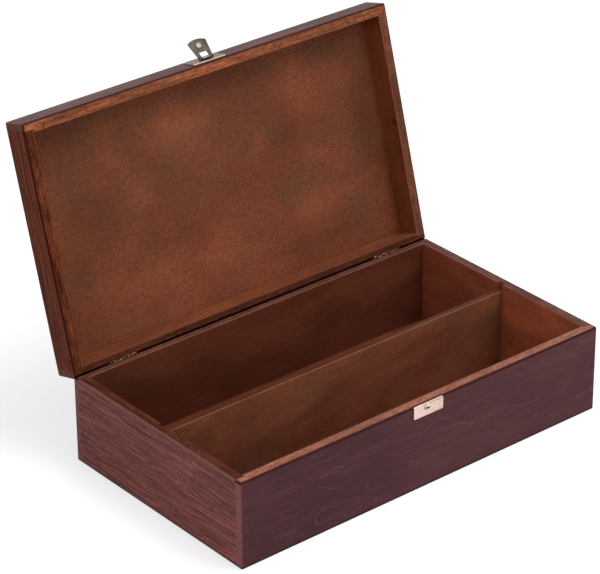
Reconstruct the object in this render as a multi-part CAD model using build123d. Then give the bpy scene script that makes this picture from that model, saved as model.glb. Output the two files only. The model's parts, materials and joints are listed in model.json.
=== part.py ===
from build123d import *
from math import radians, tan
import os

# A hinged wine box of stained boards, millimetres. x runs along the box, -y is the front and +z is up.
# The origin is the middle of the underside. Everything on the lid is first made in its closed place
# and then turned about the hinge pins into its open place.

# Overall sizes
WIDTH = 350.0                 # along the bottles
DEPTH = 198.0                 # front to back
BASE_HEIGHT = 72.5            # underside to rim
LID_HEIGHT = 23.7             # rim to the outer face of the lid
RIM_GAP = 0.3                 # between the two rims when the lid is shut

# Boards
BOARD = 8.5                   # thickness of every wall and rail
CORNER_LIP = 6.0              # what the front and back boards keep of their thickness past the side boards
ARRIS_ROUND = 1.5             # all outer edges and corners
INNER_EASE = 0.8              # inner edges of the rims and the divider's top
BOTTOM_PANEL = 4.0            # thickness of the bottom panel
LID_PANEL = 3.0               # thickness of the lid panel
RABBET_WIDTH = 4.5            # how far the panels reach into the boards
PANEL_FIT = 0.1               # play round each panel
DIVIDER = 5.0                 # thickness of the divider
DIVIDER_DROP = 5.5            # divider's top below the rim
DADO_DEPTH = 3.0              # how far the divider reaches into the side boards
DADO_FIT = 0.1                # play on each side of the divider and at its ends

# Hinges
OPEN_ANGLE = 105.5            # how far the lid opens
STOP_EASE = 1.0               # degrees left before the two bevelled back edges would meet
HINGE_INSET = 2.5             # pin axis, in from the back face
BEVEL_DEPTH = 3.5             # bevel along the back edges of both rims, measured across the rim
HINGE_FROM_END = 43.5         # middle of each hinge from that end of the box
HINGE_LENGTH = 25.0
LEAF_THICK = 0.8
LEAF_REACH = 9.5              # leaf's far edge, from its own rim
KNUCKLE_COUNT = 3
KNUCKLE_GAP = 0.2             # between knuckles along a pin
HINGE_PIN_RADIUS = 0.7
PIN_PLAY = 0.05               # between a pin and its knuckles
KNUCKLE_WALL = 0.8            # metal round the pin's hole
BARREL_ROOM = 0.25            # between a hinge barrel and the wood or the other leaf
LEAF_FIT = 0.1                # play round a leaf in its kerf

# Latch on the lid and catch on the base
LATCH_X = 1.2                 # both are nailed on a little right of the middle
SHEET = 0.8                   # brass sheet of both plates and the lever
LATCH_PLATE_WIDTH = 31.0
LATCH_PLATE_HEIGHT = 14.0
LATCH_PLATE_RISE = 3.0        # plate's lower edge above the lid's rim
LATCH_PLATE_ROUND = 1.5
LATCH_PIN_RADIUS = 0.5
LATCH_KNUCKLE_WALL = 0.65
LATCH_PIN_RISE = 7.9          # pin axis above the lid's rim
LATCH_KNUCKLE_ROOM = 0.15     # between the latch's knuckles and its plate
TONGUE_WIDTH = 7.0            # plate's tongue, which curls round the pin
TONGUE_OPENING = 4.0          # height of the opening left below the tongue's root
LEVER_HINGE_WIDTH = 13.0      # lever at its knuckles
LEVER_TIP_WIDTH = 17.1        # lever at its lower corners
LEVER_SIDE = 14.8             # pin axis to the lever's lower corners
LEVER_LENGTH = 16.8           # pin axis to the middle of the curved lower edge
LEVER_CORNER_ROUND = 1.2
LEVER_WINDOW = 5.4            # pin axis to the far edge of the window
LEVER_TURN = 127.0            # from hanging shut to its place in the open box
DIMPLE_RADIUS = 2.5
DIMPLE_HEIGHT = 0.9
DIMPLE_WALL = 0.7
CATCH_WIDTH = 28.6
CATCH_HEIGHT = 10.3
CATCH_TOP = 0.3               # catch plate's top edge below the base's rim
CATCH_ROUND = 1.0
CATCH_LEAN = 14.0             # degrees that the plate's top strip leans back over the rounded rim
CATCH_CREASE = 1.0            # height of that strip
NUB_DROP = 3.1                # middle of the nub below the base's rim
NUB_RADIUS = 1.7              # where it rises from the plate
NUB_HEIGHT = 1.45
NUB_WALL = 0.6
NUB_LIP = 0.4                 # nub's cut lower edge, below its middle
NUB_OPENING = 2.2             # height of the opening below that edge

# Nails. Their shanks are square here, because the wood hides them.
LEAF_NAIL_HEAD = 1.1          # radius
LEAF_NAIL_HEAD_DEPTH = 0.8
LEAF_NAIL_NECK = 0.8          # radius of the countersunk head at its lower end
LEAF_NAIL_SHANK = 0.5         # half its width
LEAF_NAIL_LENGTH = 7.0
PLATE_NAIL_HEAD = 1.3         # radius
PLATE_NAIL_FLAT = 0.8         # radius of the flat on the raised head
PLATE_NAIL_CROWN = 0.5        # height of the raised head
PLATE_NAIL_SHANK = 0.5        # half its width
PLATE_NAIL_LENGTH = 7.0
HEAD_SIDES = 16
BRAD_HEAD = 2.0               # width of the flat-wire brad's head
BRAD_HEAD_DEPTH = 0.6
BRAD_WIDTH = 1.25
BRAD_THICK = 1.0
BRAD_TIP = 0.3                # width left at the point, as a share of the brad's width
BRAD_LENGTH = 22.0
NAIL_POINT = 1.5              # length of a nail's point
NAIL_FIT = 0.02               # between a nail and its hole
LEAF_NAIL_SPREAD = 8.0        # from the middle of a leaf
LEAF_NAIL_PLACE = 6.7         # from the rim
LATCH_NAIL_SPREAD = 11.5      # from the middle of the latch plate
CATCH_NAIL_SPREAD = 8.2       # from the middle of the catch plate
CATCH_NAIL_DROP = 4.5         # below the base's rim
BRAD_FROM_FOOT = 20.0         # lower brads above the underside
BRAD_FROM_RIM = 12.5          # upper brads below the base's rim

# Worked out from the sizes above
HALF_X = WIDTH / 2
HALF_Y = DEPTH / 2
INSIDE_X = HALF_X - BOARD
INSIDE_Y = HALF_Y - BOARD
LID_RIM = BASE_HEIGHT + RIM_GAP
LID_TOP = LID_RIM + LID_HEIGHT
HINGE_X = HALF_X - HINGE_FROM_END
HINGE_Y = HALF_Y - HINGE_INSET
HINGE_Z = BASE_HEIGHT + RIM_GAP / 2
BEVEL_DROP = HINGE_INSET * tan(radians((OPEN_ANGLE + STOP_EASE) / 2)) - RIM_GAP / 2
HINGE_BORE = HINGE_PIN_RADIUS + PIN_PLAY
HINGE_KNUCKLE = HINGE_BORE + KNUCKLE_WALL
LATCH_BORE = LATCH_PIN_RADIUS + PIN_PLAY
LATCH_KNUCKLE = LATCH_BORE + LATCH_KNUCKLE_WALL
PLATE_FRONT = HALF_Y + SHEET
LATCH_Y = -(PLATE_FRONT + LATCH_KNUCKLE_ROOM + LATCH_KNUCKLE)
LATCH_Z = LID_RIM + LATCH_PIN_RISE
NUB_Z = BASE_HEIGHT - NUB_DROP
BEYOND = 5.0                  # how far a cutting solid runs past the face that it cuts
SAME_PLACE = 0.01             # nearer than this counts as the same place


def block(x0, x1, y0, y1, z0, z1):
    """A box between two corners."""
    middle = Pos((x0 + x1) / 2, (y0 + y1) / 2, (z0 + z1) / 2)
    return middle * Box(x1 - x0, y1 - y0, z1 - z0)


def rod(x0, x1, y, z, radius):
    """A round bar along x."""
    return Pos((x0 + x1) / 2, y, z) * Rot(0, 90, 0) * Cylinder(radius, x1 - x0)


def prism_x(points, x0, x1):
    """A y-z outline drawn out from x0 to x1."""
    outline = Plane.YZ.offset(x0) * make_face(Polyline(*points, close=True))
    return extrude(outline, x1 - x0)


def prism_y(sketch, y0, y1):
    """An x-z sketch drawn out from y0 back to y1."""
    return extrude(Plane(origin=(0, y0, 0), x_dir=(1, 0, 0), z_dir=(0, -1, 0)) * sketch, y0 - y1)


# ---------------------------------------------------------------- nails

def shank(radius, top, length):
    """A square shank with a four-sided point, along -z from z = -top to z = -length."""
    shoulder = NAIL_POINT - length
    outline = [(-radius, -top), (radius, -top), (radius, shoulder), (0, -length), (-radius, shoulder)]
    wedge = prism_x(outline, -radius, radius)
    return wedge & (Rot(0, 0, 90) * wedge)


def head(top_radius, low_radius, top, low):
    """A tapering head with many flat sides, between two heights."""
    upper = Pos(0, 0, top) * RegularPolygon(top_radius, HEAD_SIDES)
    lower = Pos(0, 0, low) * RegularPolygon(low_radius, HEAD_SIDES)
    return loft([lower, upper], ruled=True)


def leaf_nail(play):
    """A nail with a countersunk head, or the hole for it."""
    countersunk = head(LEAF_NAIL_HEAD + play, LEAF_NAIL_NECK + play, 0, -LEAF_NAIL_HEAD_DEPTH)
    return countersunk + shank(LEAF_NAIL_SHANK + play, LEAF_NAIL_HEAD_DEPTH, LEAF_NAIL_LENGTH + play)


def plate_nail():
    """A nail with a raised round head, which lies on the plate at z = 0."""
    raised = head(PLATE_NAIL_FLAT, PLATE_NAIL_HEAD, PLATE_NAIL_CROWN, 0)
    return raised + shank(PLATE_NAIL_SHANK, 0, PLATE_NAIL_LENGTH)


def brad(play):
    """A machine-driven brad cut from flat wire, its narrow head flush at z = 0, or the hole for it."""
    wide = BRAD_HEAD / 2 + play
    half = BRAD_WIDTH / 2 + play
    under = -BRAD_HEAD_DEPTH - play
    end = -BRAD_LENGTH - play
    right = [(wide, 0), (wide, under), (half, under), (half, end + NAIL_POINT), (half * BRAD_TIP, end)]
    left = [(-y, z) for y, z in reversed(right)]
    return prism_x(right + left, -BRAD_THICK / 2 - play, BRAD_THICK / 2 + play)


def placed(places, solid):
    """A copy of a nail at each place."""
    return [place * solid for place in places]


IN_FROM_FRONT = Rot(90, 0, 0)
IN_FROM_BACK = Rot(-90, 0, 0)


def brad_places(levels):
    """Brads through the front and back boards into the middle of each side board's end."""
    middle = HALF_X - BOARD / 2
    return [Pos(side * middle, y, z) * turn
            for y, turn in ((-HALF_Y, IN_FROM_FRONT), (HALF_Y, IN_FROM_BACK))
            for side in (-1, 1) for z in levels]


def leaf_nail_places(on_lid):
    """Two nails from the back through each hinge leaf in its kerf."""
    z = LID_RIM + LEAF_NAIL_PLACE if on_lid else BASE_HEIGHT - LEAF_NAIL_PLACE
    middles = [side * HINGE_X + off for side in (-1, 1) for off in (-LEAF_NAIL_SPREAD, LEAF_NAIL_SPREAD)]
    return [Pos(x, HALF_Y, z) * IN_FROM_BACK for x in middles]


def plate_nail_places(spread, z, surface):
    """A nail each side of the middle of the latch plate or the catch plate."""
    return [Pos(LATCH_X + side * spread, -surface, z) * IN_FROM_FRONT for side in (-1, 1)]


BASE_BRADS = brad_places([BRAD_FROM_FOOT, BASE_HEIGHT - BRAD_FROM_RIM])
LID_BRADS = brad_places([LID_RIM + LID_HEIGHT / 2])
LATCH_NAILS = plate_nail_places(LATCH_NAIL_SPREAD, LID_RIM + LATCH_PLATE_RISE + LATCH_PLATE_HEIGHT / 2,
                                PLATE_FRONT)
CATCH_NAILS = plate_nail_places(CATCH_NAIL_SPREAD, BASE_HEIGHT - CATCH_NAIL_DROP, PLATE_FRONT)
BRAD_HOLE = brad(NAIL_FIT)
LEAF_HOLE = leaf_nail(NAIL_FIT)
PLATE_HOLE = shank(PLATE_NAIL_SHANK + NAIL_FIT, 0, PLATE_NAIL_LENGTH + NAIL_FIT)


# ---------------------------------------------------------------- boards

def is_inner_rim(edge, rim):
    """Whether an edge runs round the inside of the rim at this height."""
    middle = edge.center()
    inside = abs(middle.X) < INSIDE_X + SAME_PLACE and abs(middle.Y) < INSIDE_Y + SAME_PLACE
    return inside and abs(middle.Z - rim) < SAME_PLACE


def board_frame(low, high, rim):
    """Four boards' worth of wood: a rounded block with its middle taken out."""
    wood = block(-HALF_X, HALF_X, -HALF_Y, HALF_Y, low, high)
    wood = fillet(wood.edges(), ARRIS_ROUND)
    wood -= block(-INSIDE_X, INSIDE_X, -INSIDE_Y, INSIDE_Y, low - BEYOND, high + BEYOND)
    return fillet(wood.edges().filter_by(lambda edge: is_inner_rim(edge, rim)), INNER_EASE)


def back_bevel(rim, outward):
    """What the bevel takes off the rim's back edge; outward is +1 for the base's rim and -1 for the lid's."""
    inner = HALF_Y - BEVEL_DEPTH
    outer = HALF_Y + BEYOND
    level = rim - outward * BEVEL_DROP
    above = rim + outward * BEYOND
    points = [(inner, rim), (HALF_Y, level), (outer, level), (outer, above), (inner, above)]
    return prism_x(points, -HALF_X - BEYOND, HALF_X + BEYOND)


def hinge_recess(side, rim, outward):
    """A kerf in one rim for a hinge leaf, and room for the whole barrel."""
    middle = side * HINGE_X
    half = HINGE_LENGTH / 2 + LEAF_FIT
    wide = LEAF_THICK / 2 + LEAF_FIT
    low, high = sorted((rim - outward * (LEAF_REACH + LEAF_FIT), rim + outward * BEYOND))
    kerf = block(middle - half, middle + half, HINGE_Y - wide, HINGE_Y + wide, low, high)
    reach = HINGE_LENGTH / 2 + BARREL_ROOM
    return kerf + rod(middle - reach, middle + reach, HINGE_Y, HINGE_Z, HINGE_KNUCKLE + BARREL_ROOM)


def panel_block(low, high, play):
    """A panel between two heights, less its play, or the rabbet for it with none."""
    x = INSIDE_X + RABBET_WIDTH - play
    y = INSIDE_Y + RABBET_WIDTH - play
    return block(-x, x, -y, y, low, high)


def divider_block(play, top):
    """The divider between the side boards, less its play, or its two dadoes."""
    x = INSIDE_X + DADO_DEPTH - play
    y = DIVIDER / 2 + DADO_FIT - play
    return block(-x, x, -y, y, BOTTOM_PANEL, top)


def split_frame(wood, low, high):
    """Cut a frame into front, back, left and right boards at the rabbeted corners."""
    y_lip = HALF_Y - CORNER_LIP
    far_x = HALF_X + BEYOND
    far_y = HALF_Y + BEYOND
    low -= BEYOND
    high += BEYOND
    front_zone = block(-far_x, far_x, -far_y, -y_lip, low, high)
    front_zone += block(-INSIDE_X, INSIDE_X, -far_y, -INSIDE_Y, low, high)
    back_zone = block(-far_x, far_x, y_lip, far_y, low, high)
    back_zone += block(-INSIDE_X, INSIDE_X, INSIDE_Y, far_y, low, high)
    left_zone = block(-far_x, -INSIDE_X, -y_lip, y_lip, low, high)
    right_zone = block(INSIDE_X, far_x, -y_lip, y_lip, low, high)
    return [wood & zone for zone in (front_zone, back_zone, left_zone, right_zone)]


def drilled(board, places, hole):
    """A board or plate with a hole at each place."""
    for cut in placed(places, hole):
        board -= cut
    return board


def base_boards():
    """The four walls, the bottom panel and the divider."""
    wood = board_frame(0, BASE_HEIGHT, BASE_HEIGHT)
    wood -= back_bevel(BASE_HEIGHT, 1)
    wood -= panel_block(-BEYOND, BOTTOM_PANEL, 0)
    wood -= divider_block(0, BASE_HEIGHT + BEYOND)
    for side in (-1, 1):
        wood -= hinge_recess(side, BASE_HEIGHT, 1)
    front, back, left, right = split_frame(wood, 0, BASE_HEIGHT)
    divider = divider_block(DADO_FIT, BASE_HEIGHT - DIVIDER_DROP)
    top_edges = divider.edges().filter_by(Axis.X).group_by(Axis.Z)[-1]
    return {
        "base_front_wall": drilled(drilled(front, BASE_BRADS, BRAD_HOLE), CATCH_NAILS, PLATE_HOLE),
        "base_back_wall": drilled(drilled(back, BASE_BRADS, BRAD_HOLE), leaf_nail_places(False), LEAF_HOLE),
        "base_left_wall": drilled(left, BASE_BRADS, BRAD_HOLE),
        "base_right_wall": drilled(right, BASE_BRADS, BRAD_HOLE),
        "bottom_panel": panel_block(0, BOTTOM_PANEL, PANEL_FIT),
        "divider": fillet(top_edges, INNER_EASE),
    }


def lid_boards():
    """The four rails and the lid panel, in their closed place."""
    wood = board_frame(LID_RIM, LID_TOP, LID_RIM)
    wood -= back_bevel(LID_RIM, -1)
    wood -= panel_block(LID_TOP - LID_PANEL, LID_TOP + BEYOND, 0)
    for side in (-1, 1):
        wood -= hinge_recess(side, LID_RIM, -1)
    front, back, left, right = split_frame(wood, LID_RIM, LID_TOP)
    return {
        "lid_front_rail": drilled(drilled(front, LID_BRADS, BRAD_HOLE), LATCH_NAILS, PLATE_HOLE),
        "lid_back_rail": drilled(drilled(back, LID_BRADS, BRAD_HOLE), leaf_nail_places(True), LEAF_HOLE),
        "lid_left_rail": drilled(left, LID_BRADS, BRAD_HOLE),
        "lid_right_rail": drilled(right, LID_BRADS, BRAD_HOLE),
        "lid_panel": panel_block(LID_TOP - LID_PANEL, LID_TOP, PANEL_FIT),
    }


# ---------------------------------------------------------------- hinges

def knuckle_spans(middle):
    """The x range of each knuckle along a hinge, left to right."""
    length = (HINGE_LENGTH - (KNUCKLE_COUNT - 1) * KNUCKLE_GAP) / KNUCKLE_COUNT
    start = middle - HINGE_LENGTH / 2
    return [(start + n * (length + KNUCKLE_GAP), start + n * (length + KNUCKLE_GAP) + length)
            for n in range(KNUCKLE_COUNT)]


def hinge_leaf(side, rim, outward, first_knuckle):
    """A leaf standing in the kerf of one rim, with every second knuckle from first_knuckle."""
    middle = side * HINGE_X
    half = HINGE_LENGTH / 2
    near = HINGE_Y - LEAF_THICK / 2
    far = HINGE_Y + LEAF_THICK / 2
    clear_edge = HINGE_Z - outward * (HINGE_KNUCKLE + BARREL_ROOM)
    leaf = block(middle - half, middle + half, near, far, *sorted((rim - outward * LEAF_REACH, clear_edge)))
    for x0, x1 in knuckle_spans(middle)[first_knuckle::2]:
        leaf += block(x0, x1, near, far, *sorted((clear_edge, HINGE_Z)))
        leaf += rod(x0, x1, HINGE_Y, HINGE_Z, HINGE_KNUCKLE)
    leaf -= rod(middle - HINGE_LENGTH, middle + HINGE_LENGTH, HINGE_Y, HINGE_Z, HINGE_BORE)
    return drilled(leaf, leaf_nail_places(rim == LID_RIM), LEAF_HOLE)


def hinge_pin(side):
    """The pin through one hinge's knuckles."""
    middle = side * HINGE_X
    return rod(middle - HINGE_LENGTH / 2, middle + HINGE_LENGTH / 2, HINGE_Y, HINGE_Z, HINGE_PIN_RADIUS)


# ---------------------------------------------------------------- latch and catch

def rounded_plate(width, z0, z1, corner):
    """A plate on the front face with rounded corners, from one height to another."""
    outline = Pos(LATCH_X, (z0 + z1) / 2) * RectangleRounded(width, z1 - z0, corner)
    return prism_y(outline, -HALF_Y, -PLATE_FRONT)


def latch_plate():
    """The plate on the lid, with a tongue cut out of its middle and curled round the pin."""
    low = LID_RIM + LATCH_PLATE_RISE
    plate = rounded_plate(LATCH_PLATE_WIDTH, low, low + LATCH_PLATE_HEIGHT, LATCH_PLATE_ROUND)
    x0 = LATCH_X - TONGUE_WIDTH / 2
    x1 = LATCH_X + TONGUE_WIDTH / 2
    root = LATCH_Z + LATCH_KNUCKLE
    plate -= block(x0 - KNUCKLE_GAP, x1 + KNUCKLE_GAP, -PLATE_FRONT - BEYOND, -HALF_Y + BEYOND,
                   root - SHEET - TONGUE_OPENING, root)
    plate += block(x0, x1, LATCH_Y, -HALF_Y, root - SHEET, root)
    plate += rod(x0, x1, LATCH_Y, LATCH_Z, LATCH_KNUCKLE)
    plate -= rod(x0 - BEYOND, x1 + BEYOND, LATCH_Y, LATCH_Z, LATCH_BORE)
    return drilled(plate, LATCH_NAILS, PLATE_HOLE)


def latch_pin():
    """The pin through the latch's three knuckles."""
    half = LEVER_HINGE_WIDTH / 2
    return rod(LATCH_X - half, LATCH_X + half, LATCH_Y, LATCH_Z, LATCH_PIN_RADIUS)


def lever_outline():
    """The lever's flat shape, hanging from the pin axis: wider towards a curved lower edge."""
    hinge = LEVER_HINGE_WIDTH / 2
    tip = LEVER_TIP_WIDTH / 2
    sides = Polyline((-tip, -LEVER_SIDE), (-hinge, 0), (hinge, 0), (tip, -LEVER_SIDE))
    edge = ThreePointArc((tip, -LEVER_SIDE), (0, -LEVER_LENGTH), (-tip, -LEVER_SIDE))
    outline = make_face(sides + edge)
    corners = outline.vertices().sort_by(Axis.Y)[:2]
    return fillet(corners, LEVER_CORNER_ROUND)


def pressed_dome(front, z, radius, height, wall):
    """A shallow dome ahead of the face y = front, and the hollow behind it."""
    dome = (radius ** 2 + height ** 2) / (2 * height)
    centre = Pos(LATCH_X, front - height + dome, z)
    reach = dome + BEYOND
    ahead = block(LATCH_X - reach, LATCH_X + reach, front - reach, front, z - reach, z + reach)
    return (centre * Sphere(dome)) & ahead, centre * Sphere(dome - wall)


def latch_lever():
    """The lever in its closed place, with the hollow of its dimple over the nub."""
    hinge = LEVER_HINGE_WIDTH / 2
    window = TONGUE_WIDTH / 2 + KNUCKLE_GAP
    lever = prism_y(Pos(LATCH_X, LATCH_Z) * lever_outline(), LATCH_Y + SHEET / 2, LATCH_Y - SHEET / 2)
    for x0, x1 in ((-hinge, -window), (window, hinge)):
        lever += rod(LATCH_X + x0, LATCH_X + x1, LATCH_Y, LATCH_Z, LATCH_KNUCKLE)
    lever -= block(LATCH_X - window, LATCH_X + window, LATCH_Y - BEYOND, LATCH_Y + BEYOND,
                   LATCH_Z - LEVER_WINDOW, LATCH_Z + BEYOND)
    lever -= rod(LATCH_X - LEVER_TIP_WIDTH, LATCH_X + LEVER_TIP_WIDTH, LATCH_Y, LATCH_Z, LATCH_BORE)
    dome, hollow = pressed_dome(LATCH_Y - SHEET / 2, NUB_Z, DIMPLE_RADIUS, DIMPLE_HEIGHT, DIMPLE_WALL)
    return lever + dome - hollow


def catch_profile():
    """The catch plate seen from its end: flat on the wall, its top strip leaning back over the rim."""
    top = BASE_HEIGHT - CATCH_TOP
    low = top - CATCH_HEIGHT
    crease = top - CATCH_CREASE
    lean = CATCH_CREASE * tan(radians(CATCH_LEAN))
    return [(-HALF_Y, low), (-HALF_Y, crease), (-HALF_Y + lean, top),
            (-PLATE_FRONT + lean, top), (-PLATE_FRONT, crease), (-PLATE_FRONT, low)]


def catch_plate():
    """The catch on the base: a plate with a pressed nub, cut open along its lower edge."""
    top = BASE_HEIGHT - CATCH_TOP
    outline = Pos(LATCH_X, top - CATCH_HEIGHT / 2) * RectangleRounded(CATCH_WIDTH, CATCH_HEIGHT, CATCH_ROUND)
    plate = prism_x(catch_profile(), LATCH_X - CATCH_WIDTH, LATCH_X + CATCH_WIDTH)
    plate &= prism_y(outline, -HALF_Y + BEYOND, -HALF_Y - BEYOND)
    nub, hollow = pressed_dome(-PLATE_FRONT, NUB_Z, NUB_RADIUS, NUB_HEIGHT, NUB_WALL)
    lip = NUB_Z - NUB_LIP
    opening = block(LATCH_X - NUB_RADIUS, LATCH_X + NUB_RADIUS, -PLATE_FRONT - BEYOND, -HALF_Y + BEYOND,
                    lip - NUB_OPENING, lip)
    return drilled(plate + nub - hollow - opening, CATCH_NAILS, PLATE_HOLE)


# ---------------------------------------------------------------- assembly

def group(solids):
    """Several separate solids in one node."""
    return Compound(children=solids)


def opened(shape):
    """A piece of the lid turned from its closed place to its open place."""
    return shape.rotate(Axis((0, HINGE_Y, HINGE_Z), (1, 0, 0)), -OPEN_ANGLE)


def folded(shape):
    """The lever turned from hanging shut to its place in the open box, with the lid still shut."""
    return shape.rotate(Axis((LATCH_X, LATCH_Y, LATCH_Z), (1, 0, 0)), -LEVER_TURN)


base = base_boards()
lid = lid_boards()
for name, side in (("left", -1), ("right", 1)):
    base[f"hinge_{name}_base_leaf"] = hinge_leaf(side, BASE_HEIGHT, 1, 0)
    base[f"hinge_{name}_pin"] = hinge_pin(side)
    lid[f"hinge_{name}_lid_leaf"] = hinge_leaf(side, LID_RIM, -1, 1)
base["base_leaf_nails"] = group(placed(leaf_nail_places(False), leaf_nail(0)))
base["base_corner_brads"] = group(placed(BASE_BRADS, brad(0)))
base["catch_plate"] = catch_plate()
base["catch_nails"] = group(placed(CATCH_NAILS, plate_nail()))
lid["lid_leaf_nails"] = group(placed(leaf_nail_places(True), leaf_nail(0)))
lid["lid_corner_brads"] = group(placed(LID_BRADS, brad(0)))
lid["latch_plate"] = latch_plate()
lid["latch_plate_nails"] = group(placed(LATCH_NAILS, plate_nail()))
lid["latch_pin"] = latch_pin()
lid["latch_lever"] = folded(latch_lever())

os.makedirs("parts", exist_ok=True)
for name, shape in base.items():
    export_step(shape, f"parts/{name}.step")
for name, shape in lid.items():
    export_step(opened(shape), f"parts/{name}.step")
print("lid hinge axis: y", round(HINGE_Y, 3), "z", round(HINGE_Z, 3))
latch_axis = opened(Vertex(LATCH_X, LATCH_Y, LATCH_Z)).center()
print("latch axis: y", round(latch_axis.Y, 4), "z", round(latch_axis.Z, 4))
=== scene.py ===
# %% [markdown]
# # A stained wooden wine box
# The box is made of thin stained boards: four walls round a bottom panel, a divider between the two bottles,
# and a lid of four rails round a thin panel. Two brass hinges, a brass latch and a brass catch hold it
# together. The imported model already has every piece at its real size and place, so these cells give the
# pieces their finish and make the small metalwork finer.

# %% Load the frame
import json
from math import cos, degrees, radians, sin

import bmesh
import bpy
from mathutils import Matrix, Vector


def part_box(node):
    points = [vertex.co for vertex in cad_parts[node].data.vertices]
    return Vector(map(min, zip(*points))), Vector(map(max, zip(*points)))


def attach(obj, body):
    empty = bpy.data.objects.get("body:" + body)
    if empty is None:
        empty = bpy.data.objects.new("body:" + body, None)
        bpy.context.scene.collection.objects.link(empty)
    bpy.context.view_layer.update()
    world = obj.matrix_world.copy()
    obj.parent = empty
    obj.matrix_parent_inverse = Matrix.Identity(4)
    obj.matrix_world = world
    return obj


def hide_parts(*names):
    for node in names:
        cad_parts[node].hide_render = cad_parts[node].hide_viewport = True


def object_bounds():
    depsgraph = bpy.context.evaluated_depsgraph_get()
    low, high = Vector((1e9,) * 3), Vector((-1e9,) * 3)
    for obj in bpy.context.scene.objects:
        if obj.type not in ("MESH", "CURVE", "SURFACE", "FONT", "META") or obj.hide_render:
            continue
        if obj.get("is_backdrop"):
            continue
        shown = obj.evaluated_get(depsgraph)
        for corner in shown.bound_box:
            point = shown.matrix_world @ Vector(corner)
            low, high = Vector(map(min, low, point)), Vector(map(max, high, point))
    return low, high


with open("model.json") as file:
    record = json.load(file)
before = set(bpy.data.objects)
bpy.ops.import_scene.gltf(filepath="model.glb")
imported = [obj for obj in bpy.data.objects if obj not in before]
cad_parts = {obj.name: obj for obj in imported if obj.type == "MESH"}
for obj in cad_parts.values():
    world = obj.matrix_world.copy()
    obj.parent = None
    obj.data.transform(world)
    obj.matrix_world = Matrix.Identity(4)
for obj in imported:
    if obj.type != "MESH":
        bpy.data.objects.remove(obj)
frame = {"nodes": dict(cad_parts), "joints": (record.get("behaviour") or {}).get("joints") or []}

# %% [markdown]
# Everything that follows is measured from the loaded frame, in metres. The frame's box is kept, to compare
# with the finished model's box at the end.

MM = 0.001
cad_low, cad_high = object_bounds()
scene = bpy.context.scene
nodes = frame["nodes"]
joints = {joint["name"]: joint for joint in frame["joints"]}
print("frame:", len(nodes), "nodes, box", [round(side / MM) for side in cad_high - cad_low], "mm")

# %% [markdown]
# The lid stands open. Its boards are easier to think about with the lid shut, where they lie square to the
# axes, so one matrix turns a place in the shut lid to the open one, and its inverse turns it back.

# %% The lid's turn
HINGE_PIN = Vector(joints["lid_hinge"]["pos_m"])
LID_TURN = radians(joints["lid_hinge"]["range_deg"][1])
LID_OPEN = Matrix.Translation(HINGE_PIN) @ Matrix.Rotation(-LID_TURN, 4, "X") @ Matrix.Translation(-HINGE_PIN)
LID_SHUT = LID_OPEN.inverted()


def shut_box(node):
    """A lid node's lowest and highest corner with the lid shut."""
    corners = [LID_SHUT @ vertex.co for vertex in nodes[node].data.vertices]
    low = Vector([min(corner[axis] for corner in corners) for axis in range(3)])
    high = Vector([max(corner[axis] for corner in corners) for axis in range(3)])
    return low, high


HALF_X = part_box("base_front_wall")[1].x / MM
HALF_Y = -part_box("base_front_wall")[0].y / MM
BASE_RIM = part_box("base_front_wall")[1].z / MM
LID_RIM = shut_box("lid_front_rail")[0].z / MM
LID_TOP = shut_box("lid_front_rail")[1].z / MM
BOARD = HALF_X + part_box("base_left_wall")[1].x / MM
print("rims at", round(BASE_RIM, 2), "and", round(LID_RIM, 2), "mm, boards", round(BOARD, 2), "mm thick")

# %% [markdown]
# The camera stands in front of the box and to its left, and looks down on it with a long lens, as in a
# catalogue photograph. Its place is given as an angle round the box, an angle above the floor and a distance.
# A long lens a good way off keeps the edges of the box nearly parallel.

# %% Camera


def placed(name, data):
    """A new object in the scene."""
    made = bpy.data.objects.new(name, data)
    scene.collection.objects.link(made)
    return made


CAMERA_ROUND = radians(-39.649)
CAMERA_ABOVE = radians(28.122)
CAMERA_ROLL = radians(-0.387)
CAMERA_AWAY = 2.18908
CAMERA_AIM = Vector((-0.03771, 0.0, 0.14038))
FOCUS_PIXELS = 2974.78
PHOTO_WIDTH = 600
SENSOR = 36.0

level = cos(CAMERA_ABOVE)
toward_camera = Vector((sin(CAMERA_ROUND) * level, -cos(CAMERA_ROUND) * level, sin(CAMERA_ABOVE)))
camera = placed("camera", bpy.data.cameras.new("camera"))
camera.data.sensor_width = SENSOR
camera.data.lens = FOCUS_PIXELS * SENSOR / PHOTO_WIDTH
camera.data.clip_start = 0.05
camera.data.clip_end = 50.0
camera.location = CAMERA_AIM + toward_camera * CAMERA_AWAY
look = toward_camera.to_track_quat("Z", "Y").to_matrix().to_4x4()
camera.rotation_euler = (look @ Matrix.Rotation(CAMERA_ROLL, 4, "Z")).to_euler()
scene.camera = camera
scene.view_settings.view_transform = "Standard"
print("camera at", [round(c, 3) for c in camera.location], "lens", round(camera.data.lens, 1), "mm")

# %% [markdown]
# Colours are written here as they look on a screen, from 0 to 255. The renderer counts light in an even
# scale instead, so one helper turns the first into the second. The curve between them is a straight line
# near black and a power above it.

# %% Colours
STRAIGHT_END = 0.04045


def tone(red, green, blue):
    """A colour as the renderer counts it, from its look on a screen."""
    shares = [channel / 255 for channel in (red, green, blue)]
    return [share / 12.92 if share <= STRAIGHT_END else ((share + 0.055) / 1.055) ** 2.4
            for share in shares] + [1.0]


print("the grey 128 of a screen is", round(tone(128, 128, 128)[0], 3), "to the renderer")

# %% [markdown]
# Materials, the world and Geometry Nodes are all trees of nodes. Three helpers serve them all: feed sets or
# links one input, add_node makes a node with all of its inputs and gives back its outputs for the next node,
# and calculated does that for arithmetic, the most common node here.

# %% Helpers for node trees


def feed(tree, socket, value):
    """Links a node's output to a socket, or sets the socket to a plain value."""
    if isinstance(value, bpy.types.NodeSocket):
        tree.links.new(value, socket)
    else:
        socket.default_value = value


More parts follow.
